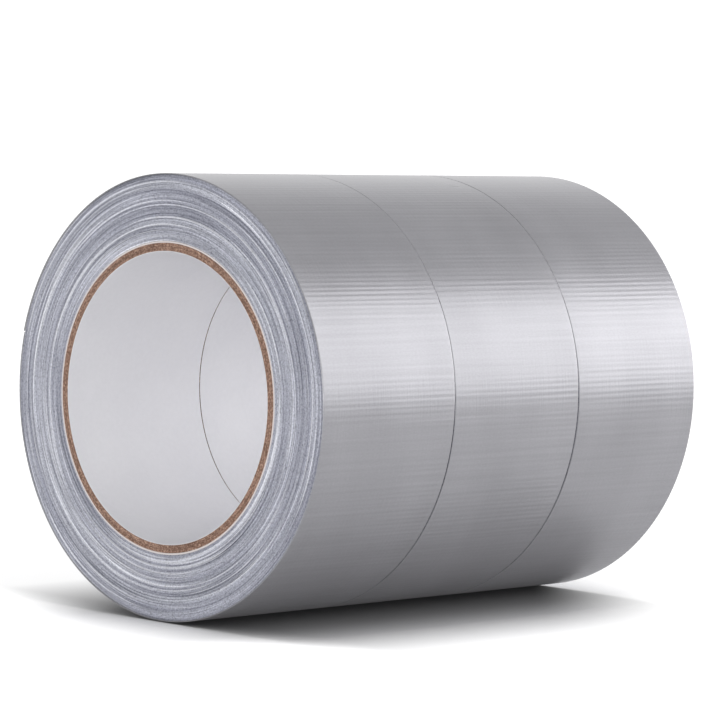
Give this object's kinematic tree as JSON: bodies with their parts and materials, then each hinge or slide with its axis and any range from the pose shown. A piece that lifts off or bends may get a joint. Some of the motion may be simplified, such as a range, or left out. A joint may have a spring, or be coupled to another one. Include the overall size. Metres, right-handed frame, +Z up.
{
  "type": "duct tape roll",
  "caption": "Silver cloth duct tape rolls set end to end on one level axis, with paper cores, wound coils, free ends that peel and end rolls that slide off.",
  "frame": {"origin": "on the rolls' common axis, at the mid-width of the middle roll", "axes": "+Y along the common axis from the front roll to the rear roll, +Z up, +X towards the side that faces right in the view"},
  "size_m": [0.1167, 0.1446, 0.1167],
  "materials": {
    "white_paper": "matt",
    "brown_board": "matt",
    "tape_edges": "cut tape edges, fine concentric lines",
    "silver_film": "semi-gloss silver film with fine cross ribs"
  },
  "bodies": {
    "front_roll": {"front_core_liner": "white_paper", "front_core_inner_board": "brown_board", "front_core_outer_board": "brown_board", "front_core_wrap": "white_paper", "front_tape_coil": "tape_edges", "front_tape_last_turn": "silver_film"},
    "front_free_end": {"front_tape_free_end": "silver_film"},
    "middle_roll": {"middle_core_liner": "white_paper", "middle_core_inner_board": "brown_board", "middle_core_outer_board": "brown_board", "middle_core_wrap": "white_paper", "middle_tape_coil": "tape_edges", "middle_tape_last_turn": "silver_film"},
    "middle_free_end": {"middle_tape_free_end": "silver_film"},
    "rear_roll": {"rear_core_liner": "white_paper", "rear_core_inner_board": "brown_board", "rear_core_outer_board": "brown_board", "rear_core_wrap": "white_paper", "rear_tape_coil": "tape_edges", "rear_tape_last_turn": "silver_film"},
    "rear_free_end": {"rear_tape_free_end": "silver_film"}
  },
  "joints": [
    {"name": "front_roll_slide", "type": "slide", "parent": "middle_roll", "child": "front_roll", "axis": [0, -1, 0], "range_m": [0, 0.06]},
    {"name": "rear_roll_slide", "type": "slide", "parent": "middle_roll", "child": "rear_roll", "axis": [0, 1, 0], "range_m": [0, 0.06]},
    {"name": "front_free_end_peel", "type": "hinge", "parent": "front_roll", "child": "front_free_end", "pos_m": [-0.02489, -0.0483, 0.0529], "axis": [0, 1, 0], "range_deg": [0, 110]},
    {"name": "middle_free_end_peel", "type": "hinge", "parent": "middle_roll", "child": "middle_free_end", "pos_m": [-0.03917, 0, 0.0434], "axis": [0, 1, 0], "range_deg": [0, 110]},
    {"name": "rear_free_end_peel", "type": "hinge", "parent": "rear_roll", "child": "rear_free_end", "pos_m": [-0.01409, 0.0483, 0.05674], "axis": [0, 1, 0], "range_deg": [0, 110]}
  ]
}
